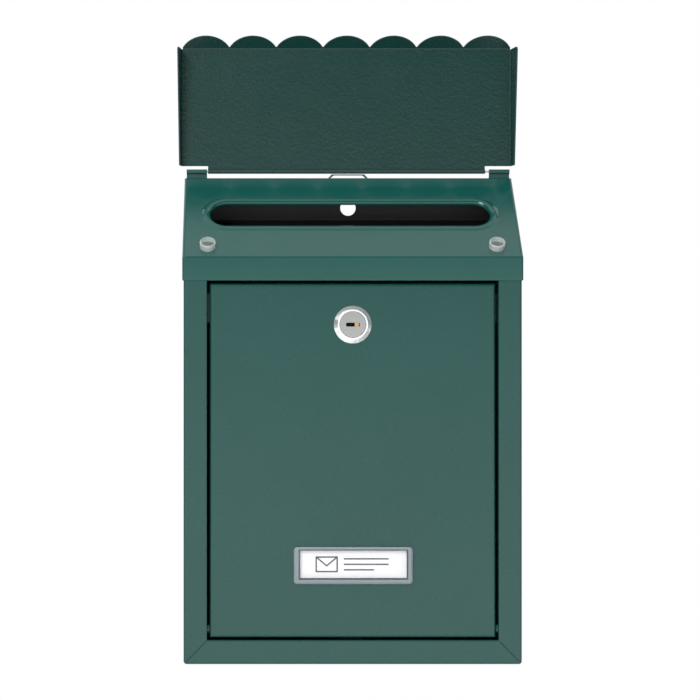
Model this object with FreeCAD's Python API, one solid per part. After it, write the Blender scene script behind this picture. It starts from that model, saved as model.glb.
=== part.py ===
import FreeCAD, Part
import math
import os
from FreeCAD import Vector

# Wall mounted mailbox in folded steel sheet, in millimetres. The wall is the plane y = 0, the
# front faces -Y and +Z is up. Heights below are measured from the underside of the case, and
# export() moves every piece to the part's origin, half way between the two wall screws.

# ---- sheet ----
SHEET = 0.8                  # thickness of every folded panel
BEND_R = 2.0                 # outside radius of the case's bends
HOOD_BEND_R = 1.6            # outside radius of the hood's bends
EDGE_R = 0.7                 # rounding of the edges round the door opening
SEAT_GAP = 0.2               # air between panels that are welded together elsewhere

# ---- case ----
BODY_W = 210.0               # across the two sides
BODY_D = 57.2                # wall to the face of the front frame
FRONT_H = 253.0              # underside to the fold under the sloping top
TOP_RISE = 55.3              # fold to the back edge of the sloping top
FRAME_W = 14.6               # stiles beside the door
RAIL_H = 15.0                # rail below the door
BAND_H = 15.0                # rail above the door, part of the hood
REAR_LIP = 10.0              # flange that the back panel is welded to
SEAM_W = 0.3                 # mitre seams of the lower front corners

# ---- wall fixing ----
WALL_HOLE_D = 10.0
WALL_HOLE_TOP = 287.0
WALL_HOLE_LOW = 40.0
PANEL_DROP = 1.9             # back panel's top edge below the hood's sharp corner
EYE_W = 25.6                 # hanging eye on the back panel's top edge
EYE_LEAN = 2.2               # its legs lean inward by this much
EYE_BAR = 0.7
EYE_GAP = 0.3                # eye to the lid's barrel

# ---- letter slot ----
SLOT_UP = 40.7               # slot's middle, up the slope from the fold
SLOT_STRAIGHT = 155.4        # straight part of the slot and of the raised rim round it
SLOT_OPEN = 21.8             # opening, measured up the slope
RIM_W = 34.0                 # raised rim over all, measured up the slope
RIM_RISE = 0.8               # flat crest of the rim, above the slope
RIM_ANGLE = 25.0             # how steeply the rim rises to its crest
RIM_R = 1.6                  # inside radius of the rim's bends
LIP_DEPTH = 2.6              # turned-in lip of the slot, below the crest

# ---- bumpers ----
BUMPER_D = 9.9
BUMPER_H = 4.4
BUMPER_UP = 9.1              # up the slope from the fold
BUMPER_X = 90.0
BUMPER_ROUND = 0.9
LID_REST_GAP = 0.1           # closed lid to bumper

# ---- lid and its hinge ----
PIN_R = 0.6
PIN_CLEARANCE = 0.05
LID_LENGTH = 80.1            # hinge axis to the front bend
LID_TILT = 1.45              # the closed lid lies this much flatter than the slope, degrees
LID_SHIFT = -1.0             # the lid sits to one side on its pin
LID_INSIDE_W = 212.8         # between the side flanges at the plate
LID_FLARE = 8.0              # side flanges lean outward, degrees
LID_SIDE_BACK = 7.8          # depth of a side flange at the hinge
LID_SIDE_FRONT = 14.8        # depth of a side flange at the front
LID_NOTCH = 3.6              # plate edge beside the barrel, above the hinge axis
LID_BEND_R = 0.8             # inside radius of the lid's bends
BARREL_W = 179.4
KNUCKLE_W = 13.2
KNUCKLE_GAP = 1.6
SCALLOPS = 7
SCALLOP_PITCH = 30.3
SCALLOP_RISE = 9.0
SCALLOP_FLAT = 0.4           # flat at the root between two scallops
SCALLOP_BASE = 0.6           # straight part below the roots

# ---- door ----
DOOR_SIDE_GAP = 1.7
DOOR_END_GAP = 1.6
DOOR_RECESS = 0.5            # door face behind the frame face
DOOR_DEPTH = 10.0
DOOR_R = 1.9                 # outside radius of the door's bends
DOOR_NOTCH = 0.5             # slit at each corner of the folded flanges
DOOR_LEAN = 0.4              # the closed door leans in at the top, degrees
PIVOT_INSET = 5.0            # pivot axis from the door's face and from its lower edge
PIVOT_R = 1.5
PIVOT_HEAD_R = 3.0
PIVOT_HEAD_T = 1.0
PIVOT_CLEARANCE = 0.08
STOP_GAP = 0.3               # closed door to its stops
STOP_H = 18.0
STOP_BELOW_TOP = 6.0
STOP_REACH = 6.8             # how far a stop reaches into the opening

# ---- lock ----
LOCK_BELOW_TOP = 27.3        # lock axis below the top of the opening
HEAD_R = 11.7
HEAD_T = 3.0
HEAD_BEVEL = 2.4
CYLINDER_R = 9.0
CYLINDER_FLAT = 16.0
CYLINDER_L = 14.0            # behind the door's face
FACE_R = 8.4                 # recess in the bezel that the plug's face turns in
FACE_T = 1.9
FACE_SINK = 0.7              # plug face behind the bezel's rim
BORE_R = 6.08
PLUG_CLEARANCE = 0.08
KEYWAY_W = 8.4
KEYWAY_H = 2.4
KEYWAY_L = 9.5
WAFERS = 5
WAFER_T = 0.7
WAFER_PITCH = 1.8
WAFER_W = 2.9
NUT_FLATS = 22.0
NUT_T = 3.0
LOCK_WASHER_R = 12.4
LOCK_WASHER_T = 0.8
CAM_GAP = 0.15               # cam to the end of the cylinder
CAM_T = 1.6
CAM_W = 12.0
CAM_L = 33.0                 # lock axis to the cam's tip
CAM_HUB_R = 8.0
SQUARE = 7.0                 # plug's square drive
DRIVE_CLEARANCE = 0.05
STRIKE_PLAY = 0.9            # locked cam to the strike lip
SCREW_R = 1.95
SCREW_L = 8.0
SCREW_HEAD_R = 3.6
SCREW_HEAD_H = 2.4
CAM_WASHER_R = 5.0
CAM_WASHER_T = 1.0
RECESS_W = 0.9               # cross recess in the screw head

# ---- name plate ----
PLATE_W = 73.7
PLATE_H = 22.9
PLATE_T = 2.6
PLATE_R = 2.2
PLATE_BEVEL = 1.1
PLATE_X = 0.3
PLATE_Z = 61.4
CARD_W = 66.2
CARD_H = 17.1
CARD_T = 0.4
CARD_RAISE = 0.7             # card above the plate's middle
POCKET_GAP = 0.2
POCKET_DEPTH = 1.3
PEG_R = 1.5
PEG_X = 35.3
PEG_L = 5.0
PEG_CLEARANCE = 0.1
CLIP_R = 3.6
CLIP_T = 0.6

# ---- places worked out from the sizes above ----
ORIGIN_Z = (WALL_HOLE_TOP + WALL_HOLE_LOW) / 2
HOOD_FRONT = -(BODY_D + SHEET)
TOP_Z = FRONT_H + TOP_RISE
SLOPE = math.degrees(math.atan2(TOP_RISE, -HOOD_FRONT - SHEET))
SLOPE_L = math.hypot(TOP_RISE, -HOOD_FRONT - SHEET)
BARREL_IN_R = PIN_R + PIN_CLEARANCE
BARREL_R = BARREL_IN_R + SHEET
HINGE_Y = -BARREL_R
LID_DROP = (SLOPE_L - BUMPER_UP) * math.tan(math.radians(LID_TILT))
LID_LIFT = BUMPER_H + LID_REST_GAP - BARREL_IN_R - LID_DROP
HINGE_Z = TOP_Z + (LID_LIFT - (BARREL_R - SHEET) * math.sin(math.radians(SLOPE))) / math.cos(
    math.radians(SLOPE))
OPEN_HALF_W = BODY_W / 2 - FRAME_W
OPEN_TOP = FRONT_H - BAND_H
DOOR_FACE = -BODY_D + DOOR_RECESS
DOOR_HALF_W = OPEN_HALF_W - DOOR_SIDE_GAP
DOOR_LOW = RAIL_H + DOOR_END_GAP
DOOR_TOP = OPEN_TOP - DOOR_END_GAP
PIVOT_Y = DOOR_FACE + PIVOT_INSET
PIVOT_Z = DOOR_LOW + PIVOT_INSET
LOCK_Z = OPEN_TOP - LOCK_BELOW_TOP
CYLINDER_END = DOOR_FACE + CYLINDER_L


def lean_shift(z):
    """How far the leaning door stands further back at a height."""
    return (z - PIVOT_Z) * math.tan(math.radians(DOOR_LEAN))


STOP_Y = DOOR_FACE + DOOR_DEPTH + lean_shift(DOOR_TOP) + STOP_GAP
LIP_REAR = STOP_Y - SEAT_GAP
STRIKE_REAR = CYLINDER_END + CAM_GAP + lean_shift(OPEN_TOP) - STRIKE_PLAY


def export(name, shape):
    """Move a finished piece from the case's base to the part's origin and write it."""
    shape.translate(Vector(0, 0, -ORIGIN_Z))
    shape.exportStep("parts/" + name + ".step")


def lean(shape):
    """Tip a piece of the door about the pivots, as the closed door stands."""
    shape.rotate(Vector(0, PIVOT_Y, PIVOT_Z), Vector(1, 0, 0), -DOOR_LEAN)
    return shape


def block(x0, x1, y0, y1, z0, z1):
    return Part.makeBox(x1 - x0, y1 - y0, z1 - z0, Vector(x0, y0, z0))


def rod_x(radius, x0, x1, y, z):
    return Part.makeCylinder(radius, x1 - x0, Vector(x0, y, z), Vector(1, 0, 0))


def rod_y(radius, y0, y1, x, z):
    return Part.makeCylinder(radius, y1 - y0, Vector(x, y0, z), Vector(0, 1, 0))


def joined(first, others):
    return first.fuse(others).removeSplitter()


def prism_x(points, x0, x1):
    """Polygon of (y, z) points drawn out along X."""
    wire = Part.makePolygon([Vector(x0, y, z) for y, z in points + points[:1]])
    return Part.Face(wire).extrude(Vector(x1 - x0, 0, 0))


def rounded_plate(width, height, radius, x, z, y0, y1):
    """Rectangle with round corners in the XZ plane, drawn out along Y."""
    plate = block(x - width / 2, x + width / 2, y0, y1, z - height / 2, z + height / 2)
    corners = [edge for edge in plate.Edges if abs(edge.tangentAt(edge.FirstParameter).y) > 0.99]
    return plate.makeFillet(radius, corners)


def folded(path, place, inner_radius):
    """Section of a folded sheet that lies to the left of a path of (a, b) points."""
    points = [Vector(a, b, 0) for a, b in path]
    near = points[0]
    run = (points[1] - points[0]).normalize()
    far = near + Vector(-run.y, run.x, 0) * SHEET
    edges = [Part.makeLine(place(near), place(far))]
    for before, corner, after in zip(points, points[1:], points[2:]):
        run = (corner - before).normalize()
        left = Vector(-run.y, run.x, 0)
        next_run = (after - corner).normalize()
        turn = math.atan2(run.x * next_run.y - run.y * next_run.x, run.dot(next_run))
        side = math.copysign(1, turn)
        near_r = inner_radius + (SHEET if turn > 0 else 0)
        far_r = near_r - side * SHEET
        setback = near_r * math.tan(abs(turn) / 2)
        start = corner - run * setback
        centre = start + left * (side * near_r)
        middle = (corner - centre).normalize()
        end = corner + next_run * setback
        next_left = Vector(-next_run.y, next_run.x, 0)
        edges.append(Part.makeLine(place(near), place(start)))
        edges.append(Part.makeLine(place(far), place(start + left * SHEET)))
        edges.append(Part.Arc(place(start), place(centre + middle * near_r), place(end)).toShape())
        edges.append(Part.Arc(place(start + left * SHEET), place(centre + middle * far_r),
                              place(end + next_left * SHEET)).toShape())
        near = end
        far = end + next_left * SHEET
    run = (points[-1] - points[-2]).normalize()
    last = points[-1]
    last_far = last + Vector(-run.y, run.x, 0) * SHEET
    edges.append(Part.makeLine(place(near), place(last)))
    edges.append(Part.makeLine(place(far), place(last_far)))
    edges.append(Part.makeLine(place(last), place(last_far)))
    return Part.Face(Part.Wire(Part.__sortEdges__(edges)))


def on_slope(shape, up):
    """Lay a piece made flat about the origin on the sloping top, up mm above the fold."""
    angle = math.radians(SLOPE)
    shape.rotate(Vector(0, 0, 0), Vector(1, 0, 0), SLOPE)
    shape.translate(Vector(0, HOOD_FRONT + up * math.cos(angle), FRONT_H + up * math.sin(angle)))
    return shape


def above_slope(drop):
    """Everything above the plane that lies drop mm under the sloping top."""
    half = BODY_W
    return on_slope(block(-half, half, -half, half, -drop, half), SLOPE_L / 2)


def curl(x0, x1, up):
    """Hinge barrel rolled from a sheet that leaves it upward (up = 1) or downward (up = -1)."""
    barrel = rod_x(BARREL_R, x0, x1, HINGE_Y, HINGE_Z)
    barrel = barrel.cut(rod_x(BARREL_IN_R, x0 - 1, x1 + 1, HINGE_Y, HINGE_Z))
    groove = SHEET / 2
    split_y = -SHEET - groove
    low = HINGE_Z if up > 0 else HINGE_Z - BARREL_R
    return barrel.cut(block(x0 - 1, x1 + 1, split_y, split_y + groove, low, low + BARREL_R))


def make_body_wrap():
    """Sides, bottom and front frame, folded from one sheet."""
    half = BODY_W / 2
    outer = block(-half, half, -BODY_D, -SHEET, 0, TOP_Z)
    edges = [edge for edge in outer.Edges if on_fold(edge, half)]
    outer = outer.makeFillet(BEND_R, edges)
    inner = block(-half + SHEET, half - SHEET, -BODY_D + SHEET, -2 * SHEET, SHEET, TOP_Z + 1)
    edges = [edge for edge in inner.Edges if on_fold(edge, half - SHEET)]
    shell = outer.cut(inner.makeFillet(BEND_R - SHEET, edges))
    front = block(-OPEN_HALF_W, OPEN_HALF_W, -BODY_D - 1, -BODY_D + SHEET, RAIL_H, TOP_Z)
    rear_half = half - REAR_LIP
    rear = block(-rear_half, rear_half, -2 * SHEET, 0, REAR_LIP, TOP_Z)
    rear_top = block(-half, half, -2 * SHEET - SEAT_GAP, 0, TOP_Z - REAR_LIP - 1, TOP_Z)
    shell = shell.cut([front, rear, rear_top])
    lips = [block(-OPEN_HALF_W, OPEN_HALF_W, -BODY_D, LIP_REAR, RAIL_H - SHEET, RAIL_H)]
    for side in (-1, 1):
        x0, x1 = sorted((side * OPEN_HALF_W, side * (OPEN_HALF_W + SHEET)))
        lips.append(block(x0, x1, -BODY_D, LIP_REAR, RAIL_H - SHEET, OPEN_TOP - SEAT_GAP))
    shell = joined(shell, lips)
    shell = shell.makeFillet(EDGE_R, [edge for edge in shell.Edges if rims_opening(edge)])
    shell = shell.cut(above_slope(HOOD_BEND_R))
    for side in (-1, 1):
        shell = shell.cut(mitre_seam(side))
        x = side * (OPEN_HALF_W + SHEET / 2)
        shell = shell.cut(rod_x(PIVOT_R + PIVOT_CLEARANCE, x - SHEET, x + SHEET, PIVOT_Y, PIVOT_Z))
    return shell


def on_fold(edge, half):
    """True for the edges of the case that are bends: front corners and the bottom's sides."""
    middle = edge.CenterOfMass
    run = edge.tangentAt(edge.FirstParameter)
    at_side = abs(abs(middle.x) - half) < 0.01
    at_front = middle.y < -BODY_D + SHEET + 0.01
    at_bottom = middle.z < SHEET + 0.01
    vertical = abs(run.z) > 0.99 and at_side and at_front
    return vertical or (at_bottom and (at_side or at_front))


def rims_opening(edge):
    """True for the front edges of the door opening that turn into lips."""
    middle = edge.CenterOfMass
    at_front = abs(middle.y + BODY_D) < 0.01
    on_stile = abs(abs(middle.x) - OPEN_HALF_W) < 0.01 and middle.z < OPEN_TOP
    on_rail = abs(middle.z - RAIL_H) < 0.01 and abs(middle.x) < OPEN_HALF_W
    return at_front and (on_stile or on_rail) and edge.Length > RAIL_H


def mitre_seam(side):
    """Cut between stile and rail, from the case's corner to the opening's corner."""
    length = math.hypot(FRAME_W, RAIL_H)
    seam = block(0, length + SEAM_W, -BODY_D - 1, -BODY_D + SHEET, -SEAM_W / 2, SEAM_W / 2)
    angle = math.degrees(math.atan2(RAIL_H, FRAME_W))
    seam.rotate(Vector(0, 0, 0), Vector(0, 1, 0), -angle)
    seam.translate(Vector(-BODY_W / 2, 0, 0))
    if side > 0:
        seam = seam.mirror(Vector(0, 0, 0), Vector(1, 0, 0))
    return seam


def eye_block(width, y0, y1, z0, z1):
    """Low block with leaning ends: the hanging eye, or the hole in it."""
    half = width / 2
    corners = [(-half, z0), (half, z0), (half - EYE_LEAN, z1), (EYE_LEAN - half, z1)]
    points = [Vector(x, y0, z) for x, z in corners]
    return Part.Face(Part.makePolygon(points + points[:1])).extrude(Vector(0, y1 - y0, 0))


def make_back_panel():
    """Flat panel on the wall, with its screw holes, hinge knuckles and hanging eye."""
    half = BODY_W / 2
    panel_top = TOP_Z - PANEL_DROP
    eye_top = HINGE_Z - BARREL_R - EYE_GAP
    panel = block(-half, half, -SHEET, 0, 0, panel_top)
    corners = [edge for edge in panel.Edges
               if abs(edge.tangentAt(edge.FirstParameter).y) > 0.99 and edge.CenterOfMass.z < 1]
    panel = panel.makeFillet(BEND_R, corners)
    pieces = []
    knuckle_in = BARREL_W / 2 + KNUCKLE_GAP
    for x0 in (knuckle_in, -knuckle_in - KNUCKLE_W):
        x1 = x0 + KNUCKLE_W
        pieces.append(block(x0, x1, -SHEET, 0, panel_top - 1, HINGE_Z))
        pieces.append(curl(x0, x1, -1))
    pieces.append(eye_block(EYE_W, -SHEET, 0, panel_top, eye_top))
    panel = joined(panel, pieces)
    holes = [eye_block(EYE_W - 4 * EYE_BAR, -2 * SHEET, SHEET, panel_top, eye_top - EYE_BAR)]
    for z in (WALL_HOLE_TOP, WALL_HOLE_LOW):
        holes.append(rod_y(WALL_HOLE_D / 2, -2 * SHEET, SHEET, 0, z))
    return panel.cut(holes)


def hood_block(inset, low):
    """Solid under the hood's outer skin, or under its inner skin when inset is the sheet."""
    angle = math.radians(SLOPE)
    drop = inset * (1 / math.cos(angle) - math.tan(angle))
    rear_drop = inset * (1 / math.cos(angle) + math.tan(angle))
    half = BODY_W / 2 + SHEET - inset
    outline = [(HOOD_FRONT + inset, low), (HOOD_FRONT + inset, FRONT_H - drop),
               (-SHEET - inset, TOP_Z - rear_drop), (-SHEET - inset, low)]
    solid = prism_x(outline, -half, half)
    folds = []
    for edge in solid.Edges:
        middle = edge.CenterOfMass
        above = middle.z > low + 0.01
        rear_corner = abs(middle.y + SHEET + inset) < 0.01 and abs(middle.x) > 1
        if above and not rear_corner:
            folds.append(edge)
    return solid.makeFillet(HOOD_BEND_R - inset, folds)


def rim_section():
    """Section of the pressed rim on one side of the slot: lip, flat crest and outer flank."""
    angle = math.radians(RIM_ANGLE)
    foot = RIM_W / 2 - RIM_R * math.tan(angle / 2) - SEAT_GAP
    crest = foot - RIM_RISE / math.tan(angle)
    mouth = SLOT_OPEN / 2
    path = [(-mouth, RIM_RISE - LIP_DEPTH), (-mouth, RIM_RISE), (-crest, RIM_RISE), (-foot, 0),
            (-RIM_W / 2, 0)]
    return folded(path, lambda p: Vector(0, p.x, p.y), RIM_R)


def make_rim():
    """Raised rim round the letter slot, made flat about the slot's middle."""
    end = SLOT_STRAIGHT / 2
    section = rim_section()
    section.translate(Vector(-end, 0, 0))
    long_side = section.extrude(Vector(SLOT_STRAIGHT, 0, 0))
    far_side = long_side.mirror(Vector(0, 0, 0), Vector(0, 1, 0))
    left = section.revolve(Vector(-end, 0, 0), Vector(0, 0, -1), 180)
    right = left.mirror(Vector(0, 0, 0), Vector(1, 0, 0))
    return joined(long_side, [far_side, left, right])


def slot_shape(width, z0, z1):
    """Long hole with round ends, made flat about the slot's middle."""
    end = SLOT_STRAIGHT / 2
    solid = block(-end, end, -width / 2, width / 2, z0, z1)
    ends = [Part.makeCylinder(width / 2, z1 - z0, Vector(x, 0, z0)) for x in (-end, end)]
    return joined(solid, ends)


def make_top_hood():
    """Sloping top with its slot, the band above the door, and the cheeks over the sides."""
    low = OPEN_TOP
    hood = hood_block(0, low).cut(hood_block(SHEET, low - 1))
    half = BODY_W / 2
    hood = hood.cut(block(-half, half, -2 * SHEET, 0, low - 1, TOP_Z - REAR_LIP))
    strike = block(-OPEN_HALF_W + SEAT_GAP, OPEN_HALF_W - SEAT_GAP, HOOD_FRONT, STRIKE_REAR,
                   low, low + SHEET)
    hood = joined(hood, [strike])
    fold = [edge for edge in hood.Edges
            if abs(edge.CenterOfMass.y - HOOD_FRONT) < 0.01
            and abs(edge.CenterOfMass.z - low) < 0.01 and edge.Length > OPEN_HALF_W]
    hood = hood.makeFillet(EDGE_R, fold)
    hood = hood.cut(on_slope(slot_shape(RIM_W, -2 * SHEET, SHEET), SLOT_UP))
    return joined(hood, [on_slope(make_rim(), SLOT_UP)])


def make_bumper(side):
    """Clear stop for the lid, stuck on the slope; its top is slightly hollow."""
    bumper = Part.makeCylinder(BUMPER_D / 2, BUMPER_H)
    rims = [edge for edge in bumper.Edges if abs(edge.CenterOfMass.z - BUMPER_H) < 0.01]
    bumper = bumper.makeFillet(BUMPER_ROUND, rims)
    hollow = Part.makeSphere(BUMPER_D, Vector(0, 0, BUMPER_H + BUMPER_D - BUMPER_ROUND / 3))
    bumper = on_slope(bumper.cut(hollow), BUMPER_UP)
    bumper.translate(Vector(side * BUMPER_X, 0, 0))
    return bumper


def scallop_outline(y, z):
    """Scalloped edge strip, standing upright before it is bent."""
    width = SCALLOPS * SCALLOP_PITCH
    x = -width / 2
    base = z - SHEET
    edges = [Part.makeLine(Vector(-x, y, z), Vector(-x, y, base)),
             Part.makeLine(Vector(-x, y, base), Vector(x, y, base)),
             Part.makeLine(Vector(x, y, base), Vector(x, y, z))]
    for _ in range(SCALLOPS):
        start = Vector(x + SCALLOP_FLAT / 2, y, z)
        end = Vector(x + SCALLOP_PITCH - SCALLOP_FLAT / 2, y, z)
        top = Vector(x + SCALLOP_PITCH / 2, y, z + SCALLOP_RISE)
        edges.append(Part.makeLine(Vector(x, y, z), start))
        edges.append(Part.Arc(start, top, end).toShape())
        x += SCALLOP_PITCH
        edges.append(Part.makeLine(end, Vector(x, y, z)))
    return Part.Face(Part.Wire(Part.__sortEdges__(edges)))


def make_lid():
    """Folded lid, standing open: plate, flared sides, barrel and scalloped front edge."""
    half = LID_INSIDE_W / 2 + SHEET
    low = HINGE_Z + LID_NOTCH
    high = HINGE_Z + LID_LENGTH
    flare = math.radians(LID_FLARE)
    tip_x = half + LID_SIDE_FRONT * math.tan(flare)
    tip_y = -LID_SIDE_FRONT
    path = [(tip_x, tip_y), (half, 0), (-half, 0), (-tip_x, tip_y)]
    section = folded(path, lambda p: Vector(p.x, p.y, low), LID_BEND_R)
    tray = section.extrude(Vector(0, 0, high - low - SHEET))
    outline = prism_x([(1, low - 1), (-LID_SIDE_BACK, low - 1), (-LID_SIDE_FRONT, high - SHEET),
                       (1, high - SHEET)], -2 * half, 2 * half)
    tips = [edge for edge in outline.Edges
            if abs(edge.tangentAt(edge.FirstParameter).x) > 0.99
            and abs(edge.CenterOfMass.y + LID_SIDE_FRONT) < 0.01]
    tray = tray.common(outline.makeFillet(3 * SHEET, tips))
    barrel_half = BARREL_W / 2
    root = block(-barrel_half, barrel_half, -SHEET, 0, HINGE_Z, low + 1)
    turn = math.radians(90 - SLOPE)
    flange_half = SCALLOPS * SCALLOP_PITCH / 2
    reach = (LID_BEND_R + SHEET) * math.tan(turn / 2) + SCALLOP_BASE
    end_y = -reach * math.sin(turn)
    end_z = high + reach * math.cos(turn)
    bend = folded([(0, high - 4 * SHEET), (0, high), (end_y, end_z)],
                  lambda p: Vector(-flange_half, p.x, p.y), LID_BEND_R)
    bend = bend.extrude(Vector(2 * flange_half, 0, 0))
    edge_strip = scallop_outline(0, high + reach).extrude(Vector(0, -SHEET, 0))
    edge_strip.rotate(Vector(0, 0, high), Vector(1, 0, 0), 90 - SLOPE)
    lid = joined(tray, [root, curl(-barrel_half, barrel_half, 1), bend, edge_strip])
    lid.translate(Vector(LID_SHIFT, 0, 0))
    return lid


def make_hinge_pin():
    """Wire that the lid turns on, held in the two end knuckles."""
    half = BARREL_W / 2 + KNUCKLE_GAP + KNUCKLE_W + PIN_CLEARANCE
    pin = rod_x(PIN_R, -half, half, HINGE_Y, HINGE_Z)
    ends = [edge for edge in pin.Edges if abs(abs(edge.CenterOfMass.x) - half) < 0.01]
    return pin.makeChamfer(PIN_R / 4, ends)


def make_door():
    """Folded tray that closes the front, with its lock, peg and pivot holes."""
    outer = block(-DOOR_HALF_W, DOOR_HALF_W, DOOR_FACE, DOOR_FACE + DOOR_DEPTH, DOOR_LOW, DOOR_TOP)
    outer = outer.makeFillet(DOOR_R, [edge for edge in outer.Edges if fronts_door(edge)])
    inner = block(-DOOR_HALF_W + SHEET, DOOR_HALF_W - SHEET, DOOR_FACE + SHEET,
                  DOOR_FACE + DOOR_DEPTH + 1, DOOR_LOW + SHEET, DOOR_TOP - SHEET)
    inner = inner.makeFillet(DOOR_R - SHEET, [edge for edge in inner.Edges if fronts_door(edge)])
    door = outer.cut(inner)
    cuts = [cylinder_shape(CYLINDER_R + PEG_CLEARANCE, DOOR_FACE - 1, DOOR_FACE + 2 * SHEET,
                           PEG_CLEARANCE)]
    for side in (-1, 1):
        x = side * DOOR_HALF_W
        cuts.append(rod_x(PIVOT_R + PIVOT_CLEARANCE, x - 2 * SHEET, x + 2 * SHEET, PIVOT_Y,
                          PIVOT_Z))
        cuts.append(rod_y(PEG_R + PEG_CLEARANCE, DOOR_FACE - 1, DOOR_FACE + 2 * SHEET,
                          PLATE_X + side * PEG_X, PLATE_Z))
        for z in (DOOR_LOW, DOOR_TOP):
            slit = block(x - DOOR_NOTCH, x + DOOR_NOTCH, DOOR_FACE + DOOR_R,
                         DOOR_FACE + DOOR_DEPTH + 1, z - DOOR_NOTCH, z + DOOR_NOTCH)
            cuts.append(slit)
    return door.cut(cuts)


def fronts_door(edge):
    """True for the edges round the door's face, outside or inside."""
    return edge.CenterOfMass.y < DOOR_FACE + SHEET + 0.01


def make_pivot_pin(side):
    """Shouldered rivet in the frame's lip that the door turns on."""
    steps = [(PIVOT_R, DOOR_HALF_W - SHEET - STOP_GAP - PIVOT_HEAD_T, OPEN_HALF_W + 2 * SHEET),
             (PIVOT_HEAD_R, DOOR_HALF_W - SHEET - STOP_GAP - PIVOT_HEAD_T,
              DOOR_HALF_W - SHEET - STOP_GAP),
             (PIVOT_HEAD_R, DOOR_HALF_W + STOP_GAP, OPEN_HALF_W),
             (PIVOT_HEAD_R, OPEN_HALF_W + SHEET, OPEN_HALF_W + 2 * SHEET)]
    rods = [rod_x(radius, x0, x1, PIVOT_Y, PIVOT_Z) for radius, x0, x1 in steps]
    pin = joined(rods[0], rods[1:])
    return pin if side > 0 else pin.mirror(Vector(0, 0, 0), Vector(1, 0, 0))


def make_door_stop(side):
    """Angle on the outside of a stile's lip that the closed door's flange meets."""
    top = DOOR_TOP - STOP_BELOW_TOP
    x_in = OPEN_HALF_W - STOP_REACH
    x_out = OPEN_HALF_W + SHEET
    path = [(x_out + SHEET, -BODY_D + 2 * SHEET), (x_out + SHEET, STOP_Y + SHEET),
            (x_in, STOP_Y + SHEET)]
    section = folded(path, lambda p: Vector(p.x, p.y, top - STOP_H), SEAT_GAP)
    stop = section.extrude(Vector(0, 0, STOP_H))
    return stop if side > 0 else stop.mirror(Vector(0, 0, 0), Vector(1, 0, 0))


def cylinder_shape(radius, y0, y1, clearance):
    """Lock cylinder with two flats, or the hole for it."""
    flat = CYLINDER_FLAT / 2 + clearance
    solid = rod_y(radius, y0, y1, 0, LOCK_Z)
    return solid.common(block(-flat, flat, y0, y1, LOCK_Z - radius, LOCK_Z + radius))


def make_lock_housing():
    """Bezel and cylinder of the cam lock, bored for the plug."""
    front = DOOR_FACE - HEAD_T
    head = rod_y(HEAD_R, front, DOOR_FACE, 0, LOCK_Z)
    rim = [edge for edge in head.Edges if abs(edge.CenterOfMass.y - front) < 0.01]
    head = head.makeChamfer(HEAD_BEVEL, rim)
    housing = joined(head, [cylinder_shape(CYLINDER_R, DOOR_FACE - 1, CYLINDER_END, 0)])
    face_floor = front + FACE_SINK + FACE_T
    return housing.cut([rod_y(FACE_R, front - 1, face_floor, 0, LOCK_Z),
                        rod_y(BORE_R, front, CYLINDER_END + 1, 0, LOCK_Z)])


def make_lock_plug():
    """Turning plug: face, barrel with the keyway, and the square that drives the cam."""
    face = DOOR_FACE - HEAD_T + FACE_SINK
    floor = face + FACE_T - CAM_GAP
    end = CYLINDER_END + CAM_GAP + CAM_T
    half = SQUARE / 2
    plug = rod_y(FACE_R - PLUG_CLEARANCE, face, floor, 0, LOCK_Z)
    rim = [edge for edge in plug.Edges if abs(edge.CenterOfMass.y - face) < 0.01]
    plug = plug.makeChamfer(PLUG_CLEARANCE * 3, rim)
    barrel = rod_y(BORE_R - PLUG_CLEARANCE, face + PLUG_CLEARANCE * 4, CYLINDER_END, 0, LOCK_Z)
    drive = block(-half, half, CYLINDER_END - 1, end, LOCK_Z - half, LOCK_Z + half)
    plug = joined(plug, [barrel, drive])
    keyway = rounded_plate(KEYWAY_W, KEYWAY_H, KEYWAY_H / 5, 0, LOCK_Z, face - 1, face + KEYWAY_L)
    screw_hole = rod_y(SCREW_R + DRIVE_CLEARANCE, end - SCREW_L, end + 1, 0, LOCK_Z)
    return plug.cut([keyway, screw_hole])


def make_lock_wafers():
    """Brass wafers that show along one side of the keyway."""
    face = DOOR_FACE - HEAD_T + FACE_SINK
    x1 = KEYWAY_W / 2 - DRIVE_CLEARANCE
    half = KEYWAY_H / 2 - DRIVE_CLEARANCE
    wafers = []
    for index in range(WAFERS):
        y = face + WAFER_T + index * WAFER_PITCH
        wafers.append(block(x1 - WAFER_W, x1 - KEYWAY_H / 5, y, y + WAFER_T, LOCK_Z - half,
                            LOCK_Z + half))
    return Part.makeCompound(wafers)


def make_lock_nut():
    """Hexagon nut that clamps the lock behind the door's panel."""
    y0 = DOOR_FACE + SHEET + LOCK_WASHER_T
    corner = NUT_FLATS / math.sqrt(3)
    points = []
    for index in range(7):
        angle = math.radians(60 * index + 30)
        points.append(Vector(corner * math.cos(angle), y0, LOCK_Z + corner * math.sin(angle)))
    nut = Part.Face(Part.makePolygon(points)).extrude(Vector(0, NUT_T, 0))
    round_off = rod_y(corner, y0, y0 + NUT_T, 0, LOCK_Z)
    rims = [edge for edge in round_off.Edges if edge.Length > corner]
    nut = nut.common(round_off.makeChamfer(NUT_T / 4, rims[:1]))
    return nut.cut(rod_y(CYLINDER_R + DRIVE_CLEARANCE, y0 - 1, y0 + NUT_T + 1, 0, LOCK_Z))


def make_lock_washer():
    """Plain washer between the nut and the panel."""
    y0 = DOOR_FACE + SHEET
    washer = rod_y(LOCK_WASHER_R, y0, y0 + LOCK_WASHER_T, 0, LOCK_Z)
    return washer.cut(rod_y(CYLINDER_R + DRIVE_CLEARANCE, y0 - 1, y0 + 2, 0, LOCK_Z))


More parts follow.
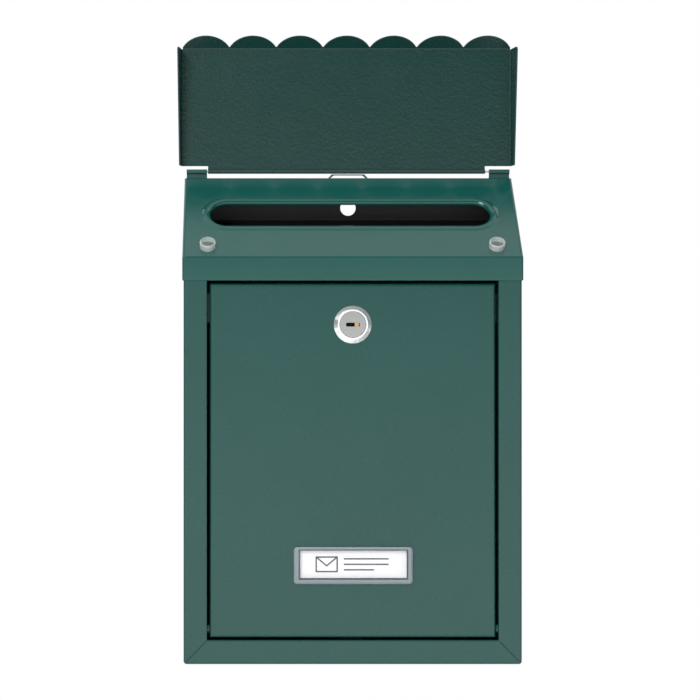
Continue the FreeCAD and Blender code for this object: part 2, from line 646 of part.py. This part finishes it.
def make_lock_cam():
    """Latch arm on the plug's square; unlocked, it points sideways."""
    y0 = CYLINDER_END + CAM_GAP
    y1 = y0 + CAM_T
    half = SQUARE / 2 + DRIVE_CLEARANCE
    tip_r = CAM_W / 2
    arm = block(-CAM_L + tip_r, 0, y0, y1, LOCK_Z - tip_r, LOCK_Z + tip_r)
    cam = joined(arm, [rod_y(CAM_HUB_R, y0, y1, 0, LOCK_Z),
                       rod_y(tip_r, y0, y1, -CAM_L + tip_r, LOCK_Z)])
    return cam.cut(block(-half, half, y0 - 1, y1 + 1, LOCK_Z - half, LOCK_Z + half))


def make_cam_washer():
    """Washer that keeps the cam on its square."""
    y0 = CYLINDER_END + CAM_GAP + CAM_T
    washer = rod_y(CAM_WASHER_R, y0, y0 + CAM_WASHER_T, 0, LOCK_Z)
    return washer.cut(rod_y(SCREW_R + DRIVE_CLEARANCE, y0 - 1, y0 + 2, 0, LOCK_Z))


def make_cam_screw():
    """Pan head screw with a cross recess, in the end of the plug."""
    seat = CYLINDER_END + CAM_GAP + CAM_T + CAM_WASHER_T
    head = rod_y(SCREW_HEAD_R, seat, seat + SCREW_HEAD_H, 0, LOCK_Z)
    rim = [edge for edge in head.Edges if abs(edge.CenterOfMass.y - seat - SCREW_HEAD_H) < 0.01]
    head = head.makeFillet(SCREW_HEAD_H / 2, rim)
    screw = joined(head, [rod_y(SCREW_R, seat - SCREW_L, seat + 1, 0, LOCK_Z)])
    deep = seat + SCREW_HEAD_H / 2
    arm = SCREW_HEAD_R / 2
    wide = RECESS_W / 2
    return screw.cut([block(-arm, arm, deep, seat + 5, LOCK_Z - wide, LOCK_Z + wide),
                      block(-wide, wide, deep, seat + 5, LOCK_Z - arm, LOCK_Z + arm)])


def make_name_window():
    """Clear bevelled cover of the name plate, with a pocket for the card and two pegs."""
    front = DOOR_FACE - PLATE_T
    plate = rounded_plate(PLATE_W, PLATE_H, PLATE_R, PLATE_X, PLATE_Z, front, DOOR_FACE)
    rim = [edge for edge in plate.Edges if abs(edge.CenterOfMass.y - front) < 0.01]
    plate = plate.makeChamfer(PLATE_BEVEL, rim)
    pocket_w = CARD_W / 2 + POCKET_GAP
    pocket_h = CARD_H / 2 + POCKET_GAP
    z = PLATE_Z + CARD_RAISE
    plate = plate.cut(block(PLATE_X - pocket_w, PLATE_X + pocket_w, DOOR_FACE - POCKET_DEPTH,
                            DOOR_FACE, z - pocket_h, z + pocket_h))
    pegs = [rod_y(PEG_R, DOOR_FACE - SHEET, DOOR_FACE + PEG_L, PLATE_X + side * PEG_X, PLATE_Z)
            for side in (-1, 1)]
    return joined(plate, pegs)


def make_name_card():
    """Paper card in the name plate's pocket."""
    y1 = DOOR_FACE - PEG_CLEARANCE
    z = PLATE_Z + CARD_RAISE
    return block(PLATE_X - CARD_W / 2, PLATE_X + CARD_W / 2, y1 - CARD_T, y1, z - CARD_H / 2,
                 z + CARD_H / 2)


def make_window_clips():
    """Push-on clips that hold the name plate's pegs behind the panel."""
    y0 = DOOR_FACE + SHEET
    clips = []
    for side in (-1, 1):
        x = PLATE_X + side * PEG_X
        clip = rod_y(CLIP_R, y0, y0 + CLIP_T, x, PLATE_Z)
        clips.append(clip.cut(rod_y(PEG_R + DRIVE_CLEARANCE, y0 - 1, y0 + 1, x, PLATE_Z)))
    return Part.makeCompound(clips)


os.makedirs("parts", exist_ok=True)
export("body_wrap", make_body_wrap())
export("back_panel", make_back_panel())
export("top_hood", make_top_hood())
export("bumper_left", make_bumper(-1))
export("bumper_right", make_bumper(1))
export("lid", make_lid())
export("lid_hinge_pin", make_hinge_pin())
export("door_pivot_pins", Part.makeCompound([make_pivot_pin(-1), make_pivot_pin(1)]))
export("door_stop_left", make_door_stop(-1))
export("door_stop_right", make_door_stop(1))
export("door", lean(make_door()))
export("lock_housing", lean(make_lock_housing()))
export("lock_nut", lean(make_lock_nut()))
export("lock_washer", lean(make_lock_washer()))
export("lock_plug", lean(make_lock_plug()))
export("lock_wafers", lean(make_lock_wafers()))
export("lock_cam", lean(make_lock_cam()))
export("cam_washer", lean(make_cam_washer()))
export("cam_screw", lean(make_cam_screw()))
export("name_window", lean(make_name_window()))
export("name_card", lean(make_name_card()))
export("name_window_clips", lean(make_window_clips()))
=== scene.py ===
import bpy
import bmesh
import math
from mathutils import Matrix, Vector


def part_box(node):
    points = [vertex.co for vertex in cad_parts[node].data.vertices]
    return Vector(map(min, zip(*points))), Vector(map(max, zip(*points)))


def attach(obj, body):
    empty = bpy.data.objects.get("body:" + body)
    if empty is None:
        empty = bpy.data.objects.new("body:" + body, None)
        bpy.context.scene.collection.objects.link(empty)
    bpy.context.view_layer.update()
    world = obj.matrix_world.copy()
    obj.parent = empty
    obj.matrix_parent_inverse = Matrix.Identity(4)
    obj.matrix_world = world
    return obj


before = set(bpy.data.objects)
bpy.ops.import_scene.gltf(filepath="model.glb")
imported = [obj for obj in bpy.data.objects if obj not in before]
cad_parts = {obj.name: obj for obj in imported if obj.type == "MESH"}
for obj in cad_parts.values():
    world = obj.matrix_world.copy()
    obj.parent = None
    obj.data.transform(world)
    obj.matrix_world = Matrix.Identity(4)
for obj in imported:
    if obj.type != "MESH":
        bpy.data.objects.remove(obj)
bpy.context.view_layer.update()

MM = 0.001
SHEET = 0.8 * MM
SLOPE = math.radians(44.0)              # slope of the hood's top
CASE_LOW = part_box("body_wrap")[0]
HOOD_LOW, HOOD_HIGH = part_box("top_hood")
FACE_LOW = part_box("lock_plug")[0]
CARD_LOW, CARD_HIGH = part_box("name_card")
INNER_EDGE = HOOD_HIGH.z - 27.0 * MM    # inside, the back panel has painted black shadow below this and bare grey above
NOISE_SPAN = (0.3, 0.7)                 # most of a noise's values lie between these
BEVEL_SPAN = (0.90, 0.985)              # cosines of the lean at which a bevel turns into a face


# ---- node helpers ----
def add(tree, kind, **inputs):
    """New shader node with its sockets set; a name with spaces is written with underscores."""
    node = tree.nodes.new(kind)
    for name, value in inputs.items():
        node.inputs[name.replace("_", " ")].default_value = value
    return node


def new_material(name):
    """Empty node material with one Principled shader joined to the output."""
    material = bpy.data.materials.new(name)
    material.use_nodes = True
    tree = material.node_tree
    tree.nodes.clear()
    output = tree.nodes.new("ShaderNodeOutputMaterial")
    shader = tree.nodes.new("ShaderNodeBsdfPrincipled")
    tree.links.new(shader.outputs["BSDF"], output.inputs["Surface"])
    return material, tree, shader


def object_axes(tree):
    """X, Y and Z of a point in the object's own coordinates."""
    place = tree.nodes.new("ShaderNodeTexCoord")
    split = tree.nodes.new("ShaderNodeSeparateXYZ")
    tree.links.new(place.outputs["Object"], split.inputs["Vector"])
    return [split.outputs[axis] for axis in "XYZ"]


def linked(shader, name):
    """The output that feeds one of the shader's sockets."""
    return shader.inputs[name].links[0].from_socket


def noise(tree, scale, detail=2.0, rough=0.5):
    """Noise over the object's own coordinates; scale is in cycles per metre."""
    place = tree.nodes.new("ShaderNodeTexCoord")
    texture = add(tree, "ShaderNodeTexNoise", Scale=scale, Detail=detail, Roughness=rough)
    tree.links.new(place.outputs["Object"], texture.inputs["Vector"])
    return texture.outputs["Fac"]


def ramp(tree, factor, low, high, start=0.0, end=1.0):
    """Spread a factor between two values."""
    node = add(tree, "ShaderNodeMapRange", From_Min=start, From_Max=end, To_Min=low, To_Max=high)
    tree.links.new(factor, node.inputs["Value"])
    return node.outputs["Result"]


def mix_colors(tree, factor, first, second):
    """Blend two colours; each is a colour or the output of another node."""
    node = tree.nodes.new("ShaderNodeMix")
    node.data_type = "RGBA"
    for index, color in ((6, first), (7, second)):
        if isinstance(color, bpy.types.NodeSocket):
            tree.links.new(color, node.inputs[index])
        else:
            node.inputs[index].default_value = (*color, 1)
    tree.links.new(factor, node.inputs["Factor"])
    return node.outputs[2]


def bump(tree, height, distance, strength, under=None):
    """Surface normal roughened by a height, over another bump where one is given."""
    node = add(tree, "ShaderNodeBump", Strength=strength, Distance=distance)
    tree.links.new(height, node.inputs["Height"])
    if under is not None:
        tree.links.new(under, node.inputs["Normal"])
    return node.outputs["Normal"]


def calc(tree, kind, first, second=0.0):
    """One step of arithmetic on two values; each is a number or the output of another node."""
    node = tree.nodes.new("ShaderNodeMath")
    node.operation = kind
    for index, value in enumerate((first, second)):
        if isinstance(value, float):
            node.inputs[index].default_value = value
        else:
            tree.links.new(value, node.inputs[index])
    return node.outputs[0]


# ---- materials ----
def green_coat(name, peel, peel_size, roughness, painted_light_scale=1.0):
    """Semi-gloss powder coat: deep blue-green with an orange-peel surface."""
    # painted light and shade: this scale makes lighter and darker copies of one green
    dark = [channel * painted_light_scale for channel in (0.0036, 0.058, 0.049)]
    light = [channel * painted_light_scale for channel in (0.0044, 0.063, 0.054)]
    fine_ratio = 3.1
    uneven = 0.012
    material, tree, shader = new_material(name)
    tone = noise(tree, 14.0, 3.0)
    color = mix_colors(tree, ramp(tree, tone, 0.0, 1.0, *NOISE_SPAN), dark, light)
    tree.links.new(color, shader.inputs["Base Color"])
    cloud = noise(tree, 60.0, 2.0)
    tree.links.new(ramp(tree, cloud, roughness - uneven, roughness + uneven, *NOISE_SPAN),
                   shader.inputs["Roughness"])
    cells = noise(tree, 1.0 / peel_size, 1.5, 0.45)
    fine = noise(tree, fine_ratio / peel_size, 1.0, 0.4)
    waves = bump(tree, cells, peel, 1.0)
    tree.links.new(bump(tree, fine, peel * 0.2, 1.0, waves), shader.inputs["Normal"])
    return material


def back_panel_coat():
    """The green coat; inside the case, matt dark grey bare sheet behind the slot, and painted
    black shadow below that.
    """
    material = green_coat("coat_panel", 0.012 * MM, 2.2 * MM, 0.33)
    tree = material.node_tree
    shader = tree.nodes["Principled BSDF"]
    _, y, z = object_axes(tree)
    inner = ramp(tree, y, 1.0, 0.0, -SHEET + 0.1 * MM, -SHEET + 0.3 * MM)
    below = ramp(tree, z, 1.0, 0.0, HOOD_HIGH.z - 4 * MM, HOOD_HIGH.z - 3 * MM)
    inside = calc(tree, "MULTIPLY", inner, below)
    stain = noise(tree, 35.0, 4.0)
    grey = mix_colors(tree, stain, (0.036, 0.036, 0.036), (0.044, 0.044, 0.044))
    # painted shadow: the inner face goes black below INNER_EDGE and stays bare grey above it
    lit = ramp(tree, z, 0.0, 1.0, INNER_EDGE - 0.4 * MM, INNER_EDGE + 0.4 * MM)
    bare_grey_and_painted_shadow = mix_colors(tree, lit, (0.0, 0.0, 0.0), grey)
    tree.links.new(mix_colors(tree, inside, linked(shader, "Base Color"), bare_grey_and_painted_shadow),
                   shader.inputs["Base Color"])
    tree.links.new(calc(tree, "MAXIMUM", inside, linked(shader, "Roughness")),
                   shader.inputs["Roughness"])
    return material


def metal(name, color, roughness, grain=0.0, grain_size=0.4 * MM, metallic=1.0):
    """Metal with a slightly uneven polish."""
    material, tree, shader = new_material(name)
    shader.inputs["Metallic"].default_value = metallic
    tone = noise(tree, 400.0, 3.0)
    shade = [channel * 0.93 for channel in color]
    tree.links.new(mix_colors(tree, tone, shade, color), shader.inputs["Base Color"])
    polish = noise(tree, 900.0, 2.0)
    tree.links.new(ramp(tree, polish, roughness * 0.75, roughness * 1.25, *NOISE_SPAN),
                   shader.inputs["Roughness"])
    if grain:
        cells = noise(tree, 1.0 / grain_size, 2.0)
        tree.links.new(bump(tree, cells, grain, 1.0), shader.inputs["Normal"])
    return material


def clear_plastic(name, color, roughness, face, opacity):
    """Clear moulded plastic; opacity is that of its bevels and sides, then of its flat face. The
    paler, more opaque bevels and sides are partly a painted reflection of the light that catches
    them.
    """
    material, tree, shader = new_material(name)
    flow_tone = noise(tree, 300.0, 2.0)
    shade = [channel * 0.92 for channel in color]
    tree.links.new(mix_colors(tree, flow_tone, shade, color), shader.inputs["Base Color"])
    polish = noise(tree, 500.0, 2.0)
    tree.links.new(ramp(tree, polish, roughness * 0.7, roughness * 1.3, *NOISE_SPAN),
                   shader.inputs["Roughness"])
    flow = noise(tree, 220.0, 1.0)
    tree.links.new(bump(tree, flow, 0.05 * MM, 0.4), shader.inputs["Normal"])
    place = tree.nodes.new("ShaderNodeTexCoord")
    facing = tree.nodes.new("ShaderNodeVectorMath")
    facing.operation = "DOT_PRODUCT"
    facing.inputs[1].default_value = face
    tree.links.new(place.outputs["Normal"], facing.inputs[0])
    either_way = calc(tree, "ABSOLUTE", facing.outputs["Value"])
    # painted reflection, in part: bevels and sides turn more opaque and pale than the flat face
    tree.links.new(ramp(tree, either_way, *opacity, *BEVEL_SPAN), shader.inputs["Alpha"])
    return material


def milky_border(material, cover):
    """Let clear plastic go milky outside the card behind it, with a painted shadow line round the
    card.
    """
    tree = material.node_tree
    shader = tree.nodes["Principled BSDF"]
    x, _, z = object_axes(tree)
    across = calc(tree, "MAXIMUM", calc(tree, "SUBTRACT", CARD_LOW.x, x),
                  calc(tree, "SUBTRACT", x, CARD_HIGH.x))
    along = calc(tree, "MAXIMUM", calc(tree, "SUBTRACT", CARD_LOW.z, z),
                 calc(tree, "SUBTRACT", z, CARD_HIGH.z))
    outside = calc(tree, "MAXIMUM", across, along)
    border = ramp(tree, outside, 0.0, cover, 0.0, 0.15 * MM)
    tree.links.new(calc(tree, "MAXIMUM", linked(shader, "Alpha"), border), shader.inputs["Alpha"])
    # painted shadow: a dark line just outside the card's edge
    past_line = ramp(tree, outside, 0.0, 1.0, 0.5 * MM, 1.1 * MM)
    tree.links.new(mix_colors(tree, past_line, (0.07, 0.08, 0.10), linked(shader, "Base Color")),
                   shader.inputs["Base Color"])


def paper(name, color):
    """Uncoated white card with a fine fibre grain."""
    material, tree, shader = new_material(name)
    fibre = noise(tree, 2500.0, 4.0, 0.6)
    shade = [channel * 0.95 for channel in color]
    tree.links.new(mix_colors(tree, fibre, shade, color), shader.inputs["Base Color"])
    shader.inputs["Roughness"].default_value = 0.85
    tree.links.new(bump(tree, fibre, 0.02 * MM, 0.6), shader.inputs["Normal"])
    return material


def ink(name):
    """Matt dark grey print."""
    material, tree, shader = new_material(name)
    cover = noise(tree, 3000.0, 2.0)
    tree.links.new(mix_colors(tree, cover, (0.11, 0.11, 0.12), (0.15, 0.15, 0.16)),
                   shader.inputs["Base Color"])
    shader.inputs["Roughness"].default_value = 0.7
    return material


def paint_shade_behind(material, start, end, shade):
    """Paint shade into a finish where the shape lies deeper than start along Y."""
    tree = material.node_tree
    shader = tree.nodes["Principled BSDF"]
    y = object_axes(tree)[1]
    deep = ramp(tree, y, 0.0, 1.0, start, end)
    tree.links.new(mix_colors(tree, deep, linked(shader, "Base Color"), shade),
                   shader.inputs["Base Color"])


def finish_nodes():
    """Give every carried-over piece its own finish."""
    smooth_coat = green_coat("coat_smooth", 0.010 * MM, 2.2 * MM, 0.27)
    # painted light on the hood and painted shade on the lid: the same green made lighter and
    # darker
    hood_coat = green_coat("coat_hood", 0.003 * MM, 2.4 * MM, 0.06, 1.17)
    lid_coat = green_coat("coat_lid", 0.09 * MM, 1.9 * MM, 0.27, 0.54)
    chrome = metal("chrome_bright", (0.92, 0.93, 0.94), 0.06, metallic=0.7)
    plug_face = metal("nickel_satin", (0.46, 0.47, 0.47), 0.22, 0.006 * MM, 0.3 * MM)
    # painted shade: the plug goes near black deeper than its face, in the keyway and behind the
    # face
    paint_shade_behind(plug_face, FACE_LOW.y + 0.3 * MM, FACE_LOW.y + 0.8 * MM, (0.01, 0.01, 0.01))
    zinc = metal("zinc_plate", (0.58, 0.60, 0.62), 0.30, 0.004 * MM)
    brass = metal("brass_plain", (0.72, 0.47, 0.18), 0.28)
    up_slope = (0, -math.sin(SLOPE), math.cos(SLOPE))
    bumper_clear = clear_plastic("bumper_clear", (0.90, 0.94, 0.90), 0.05, up_slope,
                                 (0.42, 0.10))
    window_clear = clear_plastic("window_clear", (0.32, 0.39, 0.42), 0.08, (0, -1, 0),
                                 (0.75, 0.04))
    milky_border(window_clear, 0.7)
    card = paper("card_white", (0.96, 0.96, 0.98))
    finishes = {
        "body_wrap": smooth_coat, "back_panel": back_panel_coat(), "door": smooth_coat,
        "door_stop_left": smooth_coat, "door_stop_right": smooth_coat,
        "door_pivot_pins": smooth_coat,
        "top_hood": hood_coat, "lid": lid_coat, "lock_housing": chrome, "lock_plug": plug_face,
        "lock_wafers": brass, "bumper_left": bumper_clear, "bumper_right": bumper_clear,
        "name_window": window_clear, "name_card": card}
    for node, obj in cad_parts.items():
        material = finishes.get(node, zinc)
        for slot in obj.material_slots:
            slot.material = material


# ---- print on the name card ----
DOOR_LEAN = math.radians(0.4)            # the card leans with the door
INK_T = 0.05 * MM
INK_SINK = 0.01 * MM                     # how far its back lies inside the card
STROKE = 0.9 * MM
CAP_STEPS = 8
ENVELOPE_W = 13.0 * MM
ENVELOPE_H = 9.0 * MM
ENVELOPE_X = -16.5 * MM
FLAP_TIP = -0.1 * ENVELOPE_H
RULES_X = -5.5 * MM
# each ruled line: its height on the card and its length
RULES = ((3.4 * MM, 27.0 * MM), (0.0, 27.0 * MM), (-3.4 * MM, 18.0 * MM))


def stroke(mesh, start, end):
    """Round-ended bar of ink from start to end, in (x, up) on the card."""
    run = Vector((end[0] - start[0], end[1] - start[1])).normalized()
    aim = math.atan2(run.y, run.x)
    outline = []
    for (x, up), first in ((end, aim - math.pi / 2), (start, aim + math.pi / 2)):
        for step in range(CAP_STEPS + 1):
            angle = first + math.pi * step / CAP_STEPS
            outline.append((x + STROKE / 2 * math.cos(angle), up + STROKE / 2 * math.sin(angle)))
    middle = (CARD_LOW.x + CARD_HIGH.x) / 2
    layers = []
    for lift in (INK_SINK, -INK_T):
        layer = []
        for x, up in outline:
            height = (CARD_LOW.z + CARD_HIGH.z) / 2 + up
            face = CARD_LOW.y + (height - CARD_LOW.z) * math.tan(DOOR_LEAN)
            layer.append(mesh.verts.new((middle + x, face + lift, height)))
        layers.append(layer)
    back, front = layers
    mesh.faces.new(front)
    mesh.faces.new(list(reversed(back)))
    count = len(outline)
    for index in range(count):
        following = (index + 1) % count
        mesh.faces.new((back[index], back[following], front[following], front[index]))


def make_print():
    """Generic print: a small envelope and three ruled lines for a name."""
    mesh = bmesh.new()
    left = ENVELOPE_X - ENVELOPE_W / 2
    right = ENVELOPE_X + ENVELOPE_W / 2
    top = ENVELOPE_H / 2
    corners = [(left, top), (right, top), (right, -top), (left, -top)]
    for index, corner in enumerate(corners):
        stroke(mesh, corner, corners[(index + 1) % len(corners)])
    tip = (ENVELOPE_X, FLAP_TIP)
    stroke(mesh, corners[0], tip)
    stroke(mesh, corners[1], tip)
    for up, length in RULES:
        stroke(mesh, (RULES_X, up), (RULES_X + length, up))
    bmesh.ops.recalc_face_normals(mesh, faces=mesh.faces)
    data = bpy.data.meshes.new("name_print")
    mesh.to_mesh(data)
    mesh.free()
    data.materials.append(ink("print_grey"))
    piece = bpy.data.objects.new("name_print", data)
    bpy.context.scene.collection.objects.link(piece)
    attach(piece, "door")


# ---- floor, light, camera ----
CAMERA_BACK = 1.232          # camera to the front of the case
CAMERA_LEFT = 0.069
CAMERA_UP = 0.195            # above the case's underside
LENS = 102.3
SENSOR = 36.0
SHIFT = 0.155                # sideways, in frame widths
FLOOR_HALF = 3.0
FLOOR_DROP = 1.0             # below the case's underside


def make_camera():
    data = bpy.data.cameras.new("camera")
    data.lens = LENS
    data.sensor_width = SENSOR
    data.shift_x = SHIFT
    camera = bpy.data.objects.new("camera", data)
    camera.location = (-CAMERA_LEFT, HOOD_LOW.y - CAMERA_BACK, CASE_LOW.z + CAMERA_UP)
    camera.rotation_euler = (math.radians(90), 0, 0)
    bpy.context.scene.collection.objects.link(camera)
    bpy.context.scene.camera = camera


def make_floor():
    """Plain pale floor well below the case, which hangs on a wall."""
    mesh = bpy.data.meshes.new("floor")
    z = CASE_LOW.z - FLOOR_DROP
    corners = [(-FLOOR_HALF, -FLOOR_HALF, z), (FLOOR_HALF, -FLOOR_HALF, z),
               (FLOOR_HALF, FLOOR_HALF, z), (-FLOOR_HALF, FLOOR_HALF, z)]
    mesh.from_pydata(corners, [], [(0, 1, 2, 3)])
    floor = bpy.data.objects.new("floor", mesh)
    bpy.context.scene.collection.objects.link(floor)
    material, tree, shader = new_material("floor_pale")
    tone = noise(tree, 3.0, 2.0)
    tree.links.new(mix_colors(tree, tone, (0.93, 0.93, 0.93), (0.96, 0.96, 0.96)),
                   shader.inputs["Base Color"])
    shader.inputs["Roughness"].default_value = 0.9
    mesh.materials.append(material)


# Zones of the studio, by a component of the direction from the object: each grows from its
# first value to its second.
FRONT = (0.05, -0.25)            # Y
HIGH = (0.00, 0.09)              # Z
ROOF = (0.62, 0.78)              # Z
REAR = (0.098, 0.106)            # Y, a strip of the roof that leans towards the wall
REAR_END = (0.21, 0.16)          # Y
FLANK = (0.88, 0.93)             # X, either way
FLANK_BOTTOM = (-0.20, -0.14)    # Z
FLANK_TOP = (0.36, 0.28)         # Z
# What each zone takes from the plain white surround, or adds to it.
HIGH_SHADE = 0.97
FLANK_SHADE = 0.95
REAR_SHADE = 0.95
ROOF_EXTRA = 0.3
LOW_EXTRA = 0.7
DARKEST = 0.02
KEY_PLACE = (-0.9, -1.6, 1.1)
KEY_SIZE = 0.8
KEY_POWER = 31.0


def zone(tree, value, span):
    """Smooth step of a direction's component across a span."""
    node = add(tree, "ShaderNodeMapRange", From_Min=span[0], From_Max=span[1])
    node.interpolation_type = "SMOOTHSTEP"
    tree.links.new(value, node.inputs["Value"])
    return node.outputs["Result"]


def product(tree, *factors):
    """All the factors multiplied together."""
    result = factors[0]
    for factor in factors[1:]:
        result = calc(tree, "MULTIPLY", result, factor)
    return result


def studio_strength(tree):
    """Brighter overhead and low in front, dimmer high in front, at the flanks and at the rear."""
    place = tree.nodes.new("ShaderNodeTexCoord")
    split = tree.nodes.new("ShaderNodeSeparateXYZ")
    tree.links.new(place.outputs["Generated"], split.inputs["Vector"])
    x, y, z = (split.outputs[axis] for axis in "XYZ")
    in_front = zone(tree, y, FRONT)
    roof = zone(tree, z, ROOF)
    high = product(tree, in_front, zone(tree, z, HIGH), zone(tree, z, ROOF[::-1]), HIGH_SHADE)
    low = product(tree, in_front, zone(tree, z, HIGH[::-1]), LOW_EXTRA)
    flank = product(tree, zone(tree, calc(tree, "ABSOLUTE", x), FLANK),
                    zone(tree, z, FLANK_BOTTOM), zone(tree, z, FLANK_TOP), FLANK_SHADE)
    rear = product(tree, zone(tree, y, REAR), zone(tree, y, REAR_END), roof, REAR_SHADE)
    dimmed = calc(tree, "SUBTRACT", calc(tree, "SUBTRACT", 1.0, high), flank)
    extra = calc(tree, "ADD", product(tree, roof, ROOF_EXTRA), low)
    strength = product(tree, calc(tree, "ADD", dimmed, extra), calc(tree, "SUBTRACT", 1.0, rear))
    return calc(tree, "MAXIMUM", strength, DARKEST)


def make_light():
    """White studio and one soft key light, with a plain white backdrop."""
    world = bpy.data.worlds.new("studio")
    world.use_nodes = True
    tree = world.node_tree
    tree.nodes.clear()
    output = tree.nodes.new("ShaderNodeOutputWorld")
    studio = add(tree, "ShaderNodeBackground", Color=(1, 1, 1, 1))
    tree.links.new(studio_strength(tree), studio.inputs["Strength"])
    backdrop = add(tree, "ShaderNodeBackground", Color=(1, 1, 1, 1), Strength=1.0)
    seen = tree.nodes.new("ShaderNodeLightPath")
    choose = tree.nodes.new("ShaderNodeMixShader")
    tree.links.new(seen.outputs["Is Camera Ray"], choose.inputs[0])
    tree.links.new(studio.outputs["Background"], choose.inputs[1])
    tree.links.new(backdrop.outputs["Background"], choose.inputs[2])
    tree.links.new(choose.outputs[0], output.inputs["Surface"])
    bpy.context.scene.world = world
    data = bpy.data.lights.new("key", "AREA")
    data.shape = "RECTANGLE"
    data.size = KEY_SIZE
    data.size_y = KEY_SIZE
    data.energy = KEY_POWER
    key = bpy.data.objects.new("key", data)
    key.location = KEY_PLACE
    aim = Vector((0, HOOD_LOW.y, 0)) - Vector(KEY_PLACE)
    key.rotation_euler = aim.to_track_quat("-Z", "Y").to_euler()
    bpy.context.scene.collection.objects.link(key)


finish_nodes()
make_print()
make_floor()
make_light()
make_camera()
bpy.context.scene.view_settings.view_transform = "Standard"
